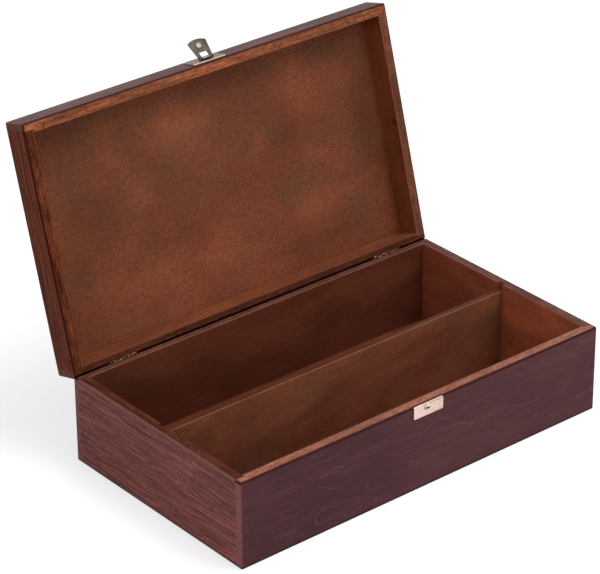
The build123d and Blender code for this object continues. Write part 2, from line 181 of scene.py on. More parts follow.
def add_node(tree, kind, inputs, **settings):
    """A new node's outputs. An input is a plain value or another node's output."""
    made = tree.nodes.new(kind)
    for setting, value in settings.items():
        setattr(made, setting, value)
    for socket, value in inputs.items():
        feed(tree, made.inputs[socket], value)
    return made.outputs


def calculated(tree, operation, *values):
    """The result of one piece of arithmetic, such as ADD or MULTIPLY."""
    return add_node(tree, "ShaderNodeMath", dict(enumerate(values)), operation=operation)[0]


print("node helpers ready")

# %% [markdown]
# A finish could be clicked together in the shader editor, but written down it reads like a recipe. This class
# holds one material and a few short words for its arithmetic. slope is used most: it turns a distance or a
# noise into a soft step, and blend then mixes two colours by it.

# %% A material and its arithmetic


class Recipe:
    """A material that is built one node at a time."""

    def __init__(self, name):
        self.material = bpy.data.materials.new(name)
        self.material.use_nodes = True
        self.tree = self.material.node_tree
        self.shader = self.tree.nodes["Principled BSDF"]

    def node(self, kind, inputs, **settings):
        return add_node(self.tree, "ShaderNode" + kind, inputs, **settings)

    def plus(self, first, second):
        return calculated(self.tree, "ADD", first, second)

    def minus(self, first, second):
        return calculated(self.tree, "SUBTRACT", first, second)

    def smaller(self, first, second):
        return calculated(self.tree, "MINIMUM", first, second)

    def larger(self, first, second):
        return calculated(self.tree, "MAXIMUM", first, second)

    def unsigned(self, value):
        return calculated(self.tree, "ABSOLUTE", value)

    def product(self, *factors):
        """Several numbers multiplied together."""
        result = factors[0]
        for factor in factors[1:]:
            result = calculated(self.tree, "MULTIPLY", result, factor)
        return result

    def slope(self, value, low, high, at_low=0.0, at_high=1.0):
        """A smooth change from one value to another while the input goes from low to high."""
        inputs = {0: value, 1: low, 2: high, 3: at_low, 4: at_high}
        return self.node("MapRange", inputs, interpolation_type="SMOOTHSTEP")[0]

    def blend(self, share, first, second):
        """Two colours mixed: none of the second at share 0, all of it at 1."""
        return self.node("Mix", {0: share, 6: first, 7: second}, data_type="RGBA")[2]

    def scaled(self, colour, factor):
        """A colour made lighter or darker."""
        if not isinstance(colour, bpy.types.NodeSocket):
            colour = colour[:3]
        return self.node("VectorMath", {0: colour, "Scale": factor}, operation="SCALE")[0]

    def done(self, inputs):
        """Sets or links the shader's own inputs."""
        for socket, value in inputs.items():
            feed(self.tree, self.shader.inputs[socket], value)
        return self.material


print("recipe helpers ready")

# %% [markdown]
# Every pattern has to know where on the box it is. Object coordinates are the right ones here: they stay on
# the piece when the camera moves or a joint turns. They are taken in millimetres, and on the lid they are
# turned back to where the lid is shut, so that one recipe fits the base and the lid.

# %% A material and its patterns


class Finish(Recipe):
    """A recipe that can also read places and patterns."""

    def millimetres(self, on_lid):
        """Coordinates in millimetres. On the lid they are turned back to where it is shut."""
        place = self.node("TexCoord", {})["Object"]
        turn = LID_SHUT if on_lid else Matrix.Identity(4)
        inputs = {"Vector": place, "Scale": (1 / MM,) * 3}
        inputs["Rotation"] = turn.to_euler()
        inputs["Location"] = turn.translation / MM
        return self.node("Mapping", inputs)[0]

    def axes(self, place):
        """The three coordinates of a place, one by one."""
        return self.node("SeparateXYZ", {0: place})[:3]

    def stretched(self, place, scale, shift=(0, 0, 0)):
        """Coordinates with each axis scaled, which stretches the pattern that reads them."""
        return self.node("Mapping", {"Vector": place, "Scale": scale, "Location": shift})[0]

    def noise(self, place, scale, detail=2.0, rough=0.5, swirl=0.0):
        """A soft random pattern from 0 to 1. A larger scale makes it finer."""
        inputs = {"Vector": place, "Scale": scale, "Detail": detail, "Roughness": rough, "Distortion": swirl}
        return self.node("TexNoise", inputs)[0]

    def spot(self, place, middle, radii, sharp=0.3):
        """1 in the middle of an ellipsoid and 0 outside it."""
        shift = [-centre / radius for centre, radius in zip(middle, radii)]
        local = self.stretched(place, [1 / radius for radius in radii], shift)
        distance = self.node("VectorMath", {0: local}, operation="LENGTH")[1]
        return self.slope(distance, sharp, 1.0, 1.0, 0.0)

    def relief(self, height, depth):
        """Turns a height from 0 to 1 into bumps of that depth in metres."""
        return self.node("Bump", {"Height": height, "Distance": depth, "Strength": 1.0})[0]


print("the lid's patterns are turned back by", round(degrees(LID_TURN), 1), "degrees")

# %% [markdown]
# Stained beech shows its growth rings as faint pale lines. Painting them on a flat picture would stretch them
# round the corners. Here the pattern fills the space of the board instead. A point's distance from the middle
# of the tree says which ring it is in, and a noise read along that distance makes some rings wide, some thin
# and some fade out. So the faces, edges and ends of a board agree with each other, as real wood does.

# %% Growth rings
# WAVE is how short the rings' waves are along the board, and how deep, in mm. TILT is how far the board runs
# across the rings for each mm along it, and RING_CHANGE how soon a ring changes along the board.
WAVE = (0.22, 16.0)
TILT = 0.02
RING_CHANGE = 0.008
RINGS_PER_MM = 0.42


def along(recipe, place, grain, share):
    """Coordinates that stretch a pattern along the grain."""
    return recipe.stretched(place, (share, 1, 1) if grain == "x" else (1, share, 1))


def ring_noise(recipe, place, grain, heart, wave):
    """A noise that follows the growth rings. heart is the middle of the tree, in mm."""
    x, y, z = recipe.axes(place)
    run, side = (x, y) if grain == "x" else (y, x)
    wavy = recipe.noise(along(recipe, place, grain, wave[0]), 0.04, 2.0, 0.5)
    across = calculated(recipe.tree, "POWER", recipe.minus(side, heart[0]), 2.0)
    up = calculated(recipe.tree, "POWER", recipe.minus(z, heart[1]), 2.0)
    radius = calculated(recipe.tree, "SQRT", recipe.plus(across, up))
    radius = recipe.plus(radius, recipe.product(wavy, wave[1]))
    radius = recipe.plus(radius, recipe.product(run, TILT))
    ring_place = recipe.node("CombineXYZ", {0: radius, 1: recipe.product(run, RING_CHANGE)})[0]
    return recipe.noise(ring_place, RINGS_PER_MM, 4.0, 0.7)


print("growth rings:", round(BOARD * RINGS_PER_MM, 1), "in the thickness of a board")

# %% [markdown]
# The fibres show as fine streaks along the board, the pores as dark dashes, and the stain as soft clouds.
# Each is a noise, stretched along the grain by its own amount. A few of them multiplied together give the
# shade of the board, lively outside and calmer inside.

# %% Wood figure
PALE_LINE = 0.62
# Each pattern's stretch along the grain, and its noise: scale, detail, roughness and swirl.
PATTERNS = {
    "broken": (0.12, 0.18, 2.0, 0.5, 0.0),
    "fibres": (0.03, 0.85, 4.0, 0.72, 0.0),
    "mottle": (0.45, 0.55, 3.0, 0.6, 0.0),
    "clouds": (0.4, 0.035, 3.0, 0.6, 0.4),
    "specks": (0.1, 2.2, 2.0, 0.7, 0.0),
    "sanded": (0.3, 0.6, 4.0, 0.75, 0.0),
}


def grain_noise(recipe, place, grain, pattern):
    """One of the patterns, stretched along the grain."""
    share, *manner = PATTERNS[pattern]
    return recipe.noise(along(recipe, place, grain, share), *manner)


def board_figure(recipe, place, grain, heart, strong, wave=WAVE):
    """The patterns of one board: its shade outside, its calmer shade inside, and its pale ring lines, dark
    pores and fibres."""
    rings = ring_noise(recipe, place, grain, heart, wave)
    broken = recipe.slope(grain_noise(recipe, place, grain, "broken"), 0.4, 0.6)
    lines = recipe.product(recipe.slope(rings, PALE_LINE - 0.04, PALE_LINE + 0.02), broken)
    fibres = grain_noise(recipe, place, grain, "fibres")
    mottle = grain_noise(recipe, place, grain, "mottle")
    clouds = grain_noise(recipe, place, grain, "clouds")
    pores = recipe.slope(grain_noise(recipe, place, grain, "specks"), 0.58, 0.72)

    def varied(value, amount):
        """A factor round 1 that follows a noise."""
        return recipe.slope(value, 0.32, 0.68, 1.0 - amount, 1.0 + amount)

    shade = recipe.product(varied(fibres, min(0.7, 0.26 * strong)), varied(rings, min(0.45, 0.17 * strong)),
                           varied(mottle, min(0.2, 0.12 * strong)), varied(clouds, 0.13))
    calm = recipe.product(varied(fibres, 0.08), varied(mottle, 0.1), varied(clouds, 0.2))
    return {"shade": shade, "calm": calm, "lines": lines, "pores": pores, "fibres": fibres}


print("wood patterns:", ", ".join(PATTERNS))

# %% [markdown]
# The stain sits differently on each side of a board. Outside it is a deep purple brown under a satin lacquer.
# The rims are sanded and warmer, and the inside is a red brown. Each board took the stain in its own way, so
# a table holds what differs from board to board, and one set of usual values holds the rest.

# %% What each board looks like
# Painted shade on the rounding below a rim. The dark knot is drawn in the same colour.
ARRIS_SHADE_AND_KNOT = tone(52, 12, 5)
# Painted shade for crevices: along the foot, at the lid's top edge, in the hinge bevel and round the plates.
CREVICE_SHADE = tone(16, 4, 2)
RUBBED_CORNER = tone(122, 78, 72)
LACQUER = 0.09

# grain: the axis that the board's fibres follow; heart: the middle of its tree, in mm; strong: how strong its
# figure is; outside, rim and inside: its colours as they look on a screen; fade: the lightness at the board's
# two ends outside; inside_painted_light: painted light inside, as the lightness at the board's two ends; end:
# the colour of its end grain; arris_shading: the painted shade on the rounding by its rim, a painted
# highlight on the left wall; plate: the metal that it carries; knot: the middle and reach of a dark knot;
# wave: as in
# WAVE; line_strength: how clear its pale lines are; lacquer: its gloss.
USUAL = dict(on_lid=False, inside=(100, 50, 33), fade=(1.0, 1.0), inside_painted_light=(1.0, 1.0), end=None,
             arris_shading=ARRIS_SHADE_AND_KNOT, plate=None, knot=None, wave=WAVE, line_strength=0.75, lacquer=LACQUER)
BOARDS = {
    "base_front_wall": dict(grain="x", heart=(-85, 14), outside=(74, 41, 45), rim=(136, 85, 69),
                            strong=0.5, fade=(1.04, 1.36), end=(112, 66, 66), plate="catch_plate",
                            wave=(0.4, 30.0), line_strength=0.8),
    "base_back_wall": dict(grain="x", heart=(70, 95), outside=(72, 37, 38), rim=(88, 52, 42),
                           inside=(90, 46, 30), strong=0.9, end=(108, 62, 62)),
    # The left wall's arris carries a painted highlight in place of the painted shade.
    "base_left_wall": dict(grain="y", heart=(-160, -30), outside=(94, 48, 43), rim=(71, 34, 22),
                           strong=2.1, fade=(1.12, 0.92), arris_shading=tone(104, 66, 60),
                           wave=(0.35, 26.0), line_strength=1.0),
    # The right wall's inside is painted lighter towards the front, where the light falls.
    "base_right_wall": dict(grain="y", heart=(160, 110), outside=(80, 40, 36), rim=(92, 56, 46),
                            inside=(116, 58, 38), strong=1.4, inside_painted_light=(1.42, 0.88)),
    "lid_front_rail": dict(grain="x", on_lid=True, heart=(-90, 50), outside=(78, 47, 45), rim=(130, 73, 46),
                           strong=1.4, end=(74, 30, 14), plate="latch_plate"),
    "lid_back_rail": dict(grain="x", on_lid=True, heart=(90, 40), outside=(72, 37, 38), rim=(70, 31, 16),
                          inside=(114, 63, 40), strong=1.2, end=(78, 36, 22)),
    "lid_left_rail": dict(grain="y", on_lid=True, heart=(-172, 20), outside=(76, 31, 13), rim=(92, 45, 25),
                          strong=3.0, lacquer=0.04),
    "lid_right_rail": dict(grain="y", on_lid=True, heart=(172, 30), outside=(80, 40, 36), rim=(98, 54, 36),
                           inside=(99, 48, 27), strong=1.3,
                           knot=((HALF_X - BOARD, -3.0, LID_RIM + 4.0), (9.0, 4.0, 4.0))),
}
print("boards:", len(BOARDS), "of them on the lid:", sum("on_lid" in board for board in BOARDS.values()))

# %% [markdown]
# Which stain shows at a point follows from how deep it lies: near the outside it is the outer stain, and a
# millimetre below the rim it is already the inside's. So no face has to be picked out by hand, and the
# roundings and corners take the right colour by themselves.

# %% Stain by depth
# Where the outer stain and the rim's stain start to give way to the next one, and where they end, in mm.
STAIN_DEPTH = (0.2, 1.3)
RIM_DEPTH = (0.1, 0.8)


def depths(recipe, place, on_lid):
    """How deep in the box a point lies, in mm: from the left or right side, from the front or back, from the
    nearest of these, from the box's underside or the lid's top, and from the board's rim."""
    x, y, z = recipe.axes(place)
    deep_x = recipe.minus(HALF_X, recipe.unsigned(x))
    deep_y = recipe.minus(HALF_Y, recipe.unsigned(y))
    wall = recipe.smaller(deep_x, deep_y)
    face = recipe.minus(LID_TOP, z) if on_lid else z
    rim = recipe.minus(z, LID_RIM) if on_lid else recipe.minus(BASE_RIM, z)
    return {"x": x, "y": y, "z": z, "deep_x": deep_x, "deep_y": deep_y, "wall": wall, "face": face,
            "rim": rim, "outside": recipe.smaller(wall, face)}


def stained(recipe, colour, shade, lines):
    """A colour with the board's shade on it, and its pale ring lines."""
    pale = [min(1.0, channel * 1.9 + 0.02) for channel in colour[:3]] + [1.0]
    return recipe.blend(lines, recipe.scaled(colour, shade), pale)


def board_stain(recipe, place, board, figure, depth):
    """The stain of a board outside, on its rim, inside and on its end grain."""
    grain, shade, lines = board["grain"], figure["shade"], figure["lines"]
    run, half = (depth["x"], HALF_X) if grain == "x" else (depth["y"], HALF_Y)
    outer_shade = recipe.product(shade, recipe.slope(run, -half, half, *board["fade"]))
    outer_lines = recipe.product(lines, board["line_strength"])
    outer = stained(recipe, tone(*board["outside"]), outer_shade, outer_lines)
    sanded = grain_noise(recipe, place, grain, "sanded")
    rim_shade = recipe.product(shade, recipe.slope(sanded, 0.35, 0.65, 0.64, 1.3))
    rim = stained(recipe, tone(*board["rim"]), rim_shade, recipe.product(lines, 0.4))
    # Painted light inside: the lightness changes from one end of the board to the other.
    inner_shade = recipe.product(figure["calm"], recipe.slope(run, -half, half, *board["inside_painted_light"]))
    inner = recipe.scaled(tone(*board["inside"]), inner_shade)
    colour = recipe.blend(recipe.slope(depth["rim"], *RIM_DEPTH), rim, inner)
    colour = recipe.blend(recipe.slope(depth["outside"], *STAIN_DEPTH), outer, colour)
    if board["end"]:
        speckled = recipe.slope(recipe.noise(place, 1.1, 3.0, 0.7), 0.35, 0.65, 0.72, 1.3)
        end_grain = recipe.scaled(tone(*board["end"]), recipe.product(shade, speckled))
        colour = recipe.blend(recipe.slope(depth["deep_x"], 0.05, 0.5, 0.7, 0.0), colour, end_grain)
    return colour


print("the outer stain ends", STAIN_DEPTH[1], "mm below a face, the rim's", RIM_DEPTH[1], "mm below the rim")

# %% [markdown]
# Years of use show first at the edges. The stain was rubbed off the upright corners and off the inner edge of
# the rims. Painted shade lies as a dark band on the rounding between a wall and its rim, where the left wall
# has a painted highlight instead. A painted shadow runs along the foot of the box, the same dark band runs
# along the lid's top edge, and painted shade lies in the bevel by the hinges. The same depths place all of
# it.
# Painted shade also lies along the outline of the two metal plates, which the plates' own boxes give.

# %% Wear and painted shade
ROUNDING = 1.5
BEVEL = 3.4
# Where the dark band of painted shadow starts to fade and where it ends, above the base's foot and below
# the lid's top.
FOOT_BAND = (1.4, 3.0)
LID_FOOT_BAND = (0.3, 1.3)


def board_wear(recipe, colour, board, fibres, depth):
    """The rubbed corners, the painted shade and highlight along the edges, and the worn inner edge of a
    board.
    """
    corner = recipe.slope(recipe.larger(depth["deep_x"], depth["deep_y"]), 0.5, ROUNDING, 0.7, 0.0)
    lightened = recipe.product(corner, recipe.slope(fibres, 0.3, 0.6, 0.5, 1.0))
    colour = recipe.blend(lightened, colour, RUBBED_CORNER)
    # Painted shade on the rounding between a wall and its rim; on the left wall a painted highlight.
    arris = recipe.product(recipe.slope(depth["rim"], ROUNDING, ROUNDING + 0.6, 0.95, 0.0),
                           recipe.slope(depth["wall"], 1.0, ROUNDING + 0.1, 1.0, 0.0))
    foot_band = LID_FOOT_BAND if board["on_lid"] else FOOT_BAND
    # Painted shadow along the foot of the base; on the lid the same dark band along its top edge.
    foot = recipe.product(recipe.slope(depth["face"], *foot_band, 0.9, 0.0),
                          recipe.slope(depth["wall"], 1.0, ROUNDING, 1.0, 0.0))
    colour = recipe.blend(arris, colour, board["arris_shading"])
    colour = recipe.blend(foot, colour, CREVICE_SHADE)
    worn = recipe.product(recipe.slope(depth["rim"], *RIM_DEPTH, 0.4, 0.0),
                          recipe.slope(depth["wall"], BOARD - 1.2, BOARD - 0.4))
    colour = recipe.blend(worn, colour, tone(*[min(255, channel * 1.25 + 14) for channel in board["rim"]]))
    from_back = recipe.minus(HALF_Y, depth["y"])
    # Painted shade in the bevel by the hinges.
    bevel = recipe.product(recipe.slope(from_back, BEVEL - 0.2, BEVEL + 0.2, 1.0, 0.0),
                           recipe.slope(depth["rim"], BEVEL - 0.4, BEVEL, 1.0, 0.0),
                           recipe.slope(depth["deep_x"], 0.2, 1.0))
    return recipe.blend(bevel, colour, CREVICE_SHADE)


def plate_outline_shade(recipe, colour, board, depth):
    """Painted shade along the outline of the metal plate that a board carries."""
    low, high = shut_box(board["plate"]) if board["on_lid"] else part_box(board["plate"])
    middle, half_size = (low + high) / 2 / MM, (high - low) / 2 / MM
    aside = recipe.minus(recipe.unsigned(recipe.minus(depth["x"], middle.x)), half_size.x)
    above = recipe.minus(recipe.unsigned(recipe.minus(depth["z"], middle.z)), half_size.z)
    # Painted shade along the plate's outline.
    outline = recipe.slope(recipe.larger(aside, above), 0.2, 1.2, 0.7, 0.0)
    on_face = recipe.slope(depth["deep_y"], 1.0, 2.0, 1.0, 0.0)
    return recipe.blend(recipe.product(outline, on_face), colour, CREVICE_SHADE)


print("dark bands on roundings of", ROUNDING, "mm and in bevels of", BEVEL, "mm")

# %% [markdown]
# Now each board gets its own material. Pores are the last layer: tiny dark dashes that also lower the surface
# a little, while the fibres raise it. The bumps are a tenth of a millimetre, enough to break up a reflection.

# %% Stained boards
WOOD_RELIEF = 0.12 * MM


def board_finish(name, board):
    """The finish of one stained board."""
    recipe = Finish(name + " stain")
    place = recipe.millimetres(board["on_lid"])
    figure = board_figure(recipe, place, board["grain"], board["heart"], board["strong"], board["wave"])
    fibres = figure["fibres"]
    depth = depths(recipe, place, board["on_lid"])
    colour = board_stain(recipe, place, board, figure, depth)
    colour = board_wear(recipe, colour, board, fibres, depth)
    if board["plate"]:
        colour = plate_outline_shade(recipe, colour, board, depth)
    if board["knot"]:
        colour = recipe.blend(recipe.product(recipe.spot(place, *board["knot"]), 0.85), colour, ARRIS_SHADE_AND_KNOT)
    pores = recipe.product(figure["pores"], recipe.slope(depth["outside"], 0.5, 1.5, 0.3, 0.12))
    colour = recipe.blend(pores, colour, recipe.scaled(colour, 0.5))
    height = recipe.minus(recipe.product(fibres, 0.8), pores)
    return recipe.done({"Base Color": colour, "Roughness": recipe.slope(fibres, 0.3, 0.7, 0.56, 0.42),
                        "Normal": recipe.relief(height, WOOD_RELIEF), "Specular IOR Level": board["lacquer"]})


def give(node, material):
    """Puts a finish on a carried-over node."""
    nodes[node].data.materials.clear()
    nodes[node].data.materials.append(material)


for name, board in BOARDS.items():
    give(name, board_finish(name, {**USUAL, **board}))
print("boards finished:", len(BOARDS))

# %% [markdown]
# The lid panel and the bottom are thin plywood, stained in one wipe. The stain stands in soft clouds over a
# fine crinkled mottling, a little like leather. A few broad patches are made lighter or darker, and a pale
# knot shows near the front rail. Their outer faces have the purple brown of the other outer faces, with the
# figure of the wood.

# %% Panels
# Middle, reach and strength of each broad patch on the lid panel, in mm with the lid shut; a positive
# strength makes it lighter.
PATCHES = [
    ((-26, -56), (46, 30), 0.42),
    ((-112, -12), (44, 42), -0.34),
    ((70, -18), (34, 26), -0.2),
    ((148, -8), (20, 66), -0.3),
    ((-70, 52), (100, 24), 0.26),
    ((96, 40), (52, 22), 0.3),
    ((70, 72), (80, 12), -0.2),
]
PALE_KNOT = (-38, -60)
PANEL_OUTSIDE = (78, 40, 40)
PANEL_RELIEF = 0.2 * MM


def wiped_stain(recipe, place, moved, colour, dull, patches):
    """The clouds, crinkles, flecks and broad patches of a panel's inner face, and the crinkles and flecks by
    themselves."""
    clouds = recipe.noise(moved, 0.016, 4.0, 0.52, 0.4)
    crinkle = recipe.noise(moved, 0.42, 4.0, 0.66, 1.3)
    fleck = recipe.noise(moved, 1.2, 2.0, 0.6, 0.4)
    hue = recipe.noise(moved, 0.022, 3.0, 0.5, 0.8)
    shade = recipe.product(recipe.slope(clouds, 0.32, 0.68, 0.84, 1.16),
                           recipe.slope(crinkle, 0.34, 0.66, 0.8, 1.2),
                           recipe.slope(fleck, 0.3, 0.7, 0.84, 1.16))
    for middle, radii, strength in patches:
        patch = recipe.spot(place, (*middle, LID_TOP), (*radii, 60.0), 0.0)
        shade = recipe.product(shade, recipe.plus(recipe.product(patch, strength), 1.0))
    stain = recipe.blend(recipe.slope(hue, 0.4, 0.65), tone(*colour), tone(*dull))
    return recipe.scaled(stain, shade), crinkle, fleck


def panel_finish(name, on_lid, colour, dull, patches, seed):
    """A wiped stain on a thin panel, with the outer stain on its outer face."""
    recipe = Finish(name)
    place = recipe.millimetres(on_lid)
    moved = recipe.stretched(place, (0.9, 1.0, 1.0), (seed * 37.0, seed * 11.0, seed * 5.0))
    stain, crinkle, fleck = wiped_stain(recipe, place, moved, colour, dull, patches)
    figure = board_figure(recipe, place, "x", (20, -60), 1.0)
    z = recipe.axes(place)[2]
    from_face = recipe.minus(LID_TOP, z) if on_lid else z
    outer = stained(recipe, tone(*PANEL_OUTSIDE), figure["shade"], recipe.product(figure["lines"], 0.6))
    stain = recipe.blend(recipe.slope(from_face, 0.6, 1.4), outer, stain)
    if patches:
        knot = recipe.spot(place, (*PALE_KNOT, LID_TOP), (8.0, 5.0, 20.0), 0.1)
        swirl = recipe.slope(recipe.noise(place, 0.35, 3.0, 0.6, 3.0), 0.45, 0.62)
        stain = recipe.blend(recipe.product(knot, swirl, 0.5), stain, tone(158, 108, 82))
    height = recipe.plus(crinkle, recipe.product(fleck, 0.4))
    return recipe.done({"Base Color": stain, "Roughness": recipe.slope(crinkle, 0.3, 0.7, 0.6, 0.46),
                        "Normal": recipe.relief(height, PANEL_RELIEF), "Specular IOR Level": LACQUER})


give("lid_panel", panel_finish("lid panel stain", True, (113, 61, 39), (105, 61, 41), PATCHES, 1))
give("bottom_panel", panel_finish("bottom panel stain", False, (100, 50, 32), (90, 48, 32), [], 4))
print("panels finished, wiped patches:", len(PATCHES))

# %% [markdown]
# The divider is a thin board that slides between the two bottles. Its faces are stained like the inside of
# the box. Hands and bottles have rubbed the two long edges of its top to a pale line, which is drawn by how
# near a point lies to those edges.

# %% Divider
DIVIDER_RELIEF = 0.1 * MM
divider_low, divider_high = [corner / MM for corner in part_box("divider")]


def divider_finish():
    recipe = Finish("divider stain")
    place = recipe.millimetres(False)
    figure = board_figure(recipe, place, "x", (40, -30), 0.8)
    shade, fibres = figure["calm"], figure["fibres"]
    y, z = recipe.axes(place)[1:]
    wiped = recipe.noise(place, 0.03, 3.0, 0.6, 0.6)
    colour = recipe.blend(recipe.slope(wiped, 0.35, 0.65), tone(127, 71, 49), tone(113, 69, 49))
    colour = recipe.scaled(colour, recipe.product(shade, recipe.slope(wiped, 0.3, 0.7, 0.88, 1.12)))
    below_top = recipe.minus(divider_high.z, z)
    top = recipe.slope(below_top, 0.1, 0.6, 1.0, 0.0)
    colour = recipe.blend(top, colour, recipe.scaled(tone(76, 36, 22), shade))
    in_from_edge = recipe.smaller(recipe.minus(y, divider_low.y), recipe.minus(divider_high.y, y))
    lightened = recipe.product(recipe.slope(below_top, 0.3, 0.9, 1.0, 0.0),
                            recipe.slope(in_from_edge, 0.3, 1.0, 1.0, 0.0),
                            recipe.slope(fibres, 0.3, 0.6, 0.3, 0.9))
    colour = recipe.blend(lightened, colour, tone(124, 82, 58))
    colour = recipe.blend(recipe.product(figure["pores"], 0.12), colour, recipe.scaled(colour, 0.5))
    return recipe.done({"Base Color": colour, "Roughness": recipe.slope(fibres, 0.3, 0.7, 0.56, 0.44),
                        "Normal": recipe.relief(fibres, DIVIDER_RELIEF), "Specular IOR Level": LACQUER})


give("divider", divider_finish())
print("divider finished:", round(divider_high.y - divider_low.y, 1), "mm thick")

# %% [markdown]
# The metal is stamped brass sheet. The catch is bright, nearly cream, because it mirrors the pale studio, and
# the latch is older and duller. One recipe makes the brass of every piece: two colours mixed by smudges, and
# a gloss that follows fine scratches, so that every reflection is broken up a little.

# %% Brass
SCRATCH_RELIEF = 0.02 * MM


def brass_finish(name, colour, dull, rough, metallic=1.0):
    """Stamped brass with handling marks. Its recipe, its place in millimetres and its colour are given back,
    so that more can be drawn on it."""
    recipe = Finish(name)
    place = recipe.millimetres(False)
    smudge = recipe.noise(place, 0.45, 3.0, 0.6, 0.5)
    scratch = recipe.noise(recipe.stretched(place, (0.4, 2.0, 4.0)), 1.2, 3.0, 0.7)
    shade = recipe.blend(recipe.slope(smudge, 0.35, 0.7, 0.0, 0.8), tone(*colour), tone(*dull))
    glaze = recipe.slope(scratch, 0.3, 0.7, rough - 0.06, rough + 0.1)
    recipe.done({"Base Color": shade, "Roughness": glaze, "Metallic": metallic,
                 "Normal": recipe.relief(scratch, SCRATCH_RELIEF)})
    return recipe, place, shade


print("brass scratches", round(SCRATCH_RELIEF / MM, 3), "mm deep")

# %% [markdown]
# The lever is dull and olive on its faces. Painted shade makes it nearly black along its edges, and a painted
# highlight makes its dimple bright. It stands slanting in the frame, so its own direction is measured first:
# from the pin to the middle of its box. The dimple lies on that line, and a face is told from an edge by how
# squarely it looks across the line.

# %% Lever
LATCH_AXIS = Vector(joints["latch_hinge"]["pos_m"])
DIMPLE_FROM_PIN = 11.3
DIMPLE_RADII = (2.6, 2.6, 2.6)

lever_low, lever_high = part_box("latch_lever")
lever_run = (lever_low + lever_high) / 2 - LATCH_AXIS
lever_run.x = 0.0
lever_run.normalize()
lever_across = lever_run.cross(Vector((1, 0, 0)))
dimple = LATCH_AXIS + lever_run * DIMPLE_FROM_PIN * MM


def lever_brass():
    recipe, place, shade = brass_finish("latch lever brass", (70, 64, 54), (44, 38, 32), 0.44, 0.7)
    normal = recipe.node("TexCoord", {})["Normal"]
    squarely = recipe.node("VectorMath", {0: normal, 1: lever_across}, operation="DOT_PRODUCT")[1]
    # Painted shade: the lever's edges are drawn nearly black.
    edge = recipe.slope(recipe.unsigned(squarely), 0.3, 0.8, 0.8, 0.0)
    shade = recipe.blend(edge, shade, tone(24, 22, 22))
    # Painted highlight in the dimple.
    lightened = recipe.spot(place, dimple / MM, DIMPLE_RADII, 0.75)
    return recipe.done({"Base Color": recipe.blend(lightened, shade, tone(180, 164, 150)),
                        "Metallic": recipe.slope(lightened, 0.0, 1.0, 0.75, 0.4)})


print("dimple at", [round(c / MM, 1) for c in dimple], "mm")

# %% [markdown]
# The catch plate is creased below the rim of the box, with painted shade in the crease, and is pinkish at its
# left, with painted shade below and left of its nub. The latch plate is pinkish at its left, a painted
# reflection of the stained wood, and turns greenish to the right, and its lower edge carries a painted
# highlight. Each mark is a soft spot or step that is placed by its distance from the rim or from the plate's
# own edge.

# %% Catch and latch plate
CREASE_BELOW_RIM = 1.45
NUB_BELOW_RIM = 3.1
# Reaches so long that a spot becomes a band along the rim, or a rod through the plate.
ENDLESS = 400.0
THROUGH = 9.0


def catch_brass():
    recipe, place, shade = brass_finish("catch brass", (219, 195, 175), (196, 174, 156), 0.38)
    crease_middle = (0, -HALF_Y, BASE_RIM - CREASE_BELOW_RIM)
    # Painted shade along the crease.
    crease_shade = recipe.spot(place, crease_middle, (ENDLESS, ENDLESS, 0.5), 0.2)
    worn = recipe.slope(recipe.noise(place, 0.5, 2.0, 0.6), 0.35, 0.65, 0.3, 1.0)
    shade = recipe.blend(recipe.product(crease_shade, worn), shade, tone(120, 100, 78))
    x = recipe.axes(place)[0]
    shade = recipe.blend(recipe.slope(x, -10.0, 4.0, 0.6, 0.0), shade, tone(230, 196, 196))
    nub = (0, -HALF_Y, BASE_RIM - NUB_BELOW_RIM)
    # Painted shade below and left of the nub.
    nub_shadow = recipe.spot(place, (-1.1, nub[1], nub[2] - 0.9), (3.0, THROUGH, 2.6), 0.5)
    nub_shadow = recipe.product(nub_shadow, recipe.minus(1.0, recipe.spot(place, nub, (1.9, THROUGH, 1.9), 0.8)))
    return recipe.done({"Base Color": recipe.blend(recipe.product(nub_shadow, 0.75), shade, tone(104, 88, 48))})


def latch_plate_brass():
    recipe, _, shade = brass_finish("latch plate brass", (140, 112, 104), (112, 88, 78), 0.42, 0.85)
    x, _, z = recipe.axes(recipe.millimetres(True))
    # The pinkish left is a painted reflection of the stained wood.
    shade = recipe.blend(recipe.slope(x, -6.0, 6.0, 0.0, 0.7), shade, tone(112, 104, 80))
    lower_edge = shut_box("latch_plate")[0].z / MM
    # Painted highlight along the lower edge.
    bright = recipe.slope(recipe.minus(z, lower_edge), 0.3, 0.9, 0.9, 0.0)
    return recipe.done({"Base Color": recipe.blend(bright, shade, tone(232, 210, 186))})


print("crease and nub", CREASE_BELOW_RIM, "and", NUB_BELOW_RIM, "mm below the rim")

# %% [markdown]
# The brush with the stain went over the hinges too, so their brass is dark, and bright specks on it are
# painted glints. The brads in the corners are steel, stained over and a little rusty. All of these keep their
# shapes from the frame.

# %% Hinges, pin and brads


def stained_hinge_brass():
    recipe, place, shade = brass_finish("hinge brass", (66, 34, 20), (28, 10, 5), 0.55, 0.35)
    specks = recipe.noise(recipe.stretched(place, (0.5, 1, 1)), 1.1, 2.0, 0.6)
    # Painted glints: bright specks on the dark brass.
    glints = recipe.slope(specks, 0.54, 0.64, 0.0, 0.7)
    return recipe.done({"Base Color": recipe.blend(glints, shade, tone(172, 124, 94)),
                        "Specular IOR Level": LACQUER})


def stained_steel():
    recipe = Finish("stained brad steel")
    rust = recipe.noise(recipe.millimetres(False), 1.1, 3.0, 0.6)
    shade = recipe.blend(recipe.slope(rust, 0.35, 0.65), tone(70, 40, 40), tone(96, 62, 60))
    return recipe.done({"Base Color": shade, "Roughness": recipe.slope(rust, 0.3, 0.7, 0.5, 0.65),
                        "Metallic": 0.3})


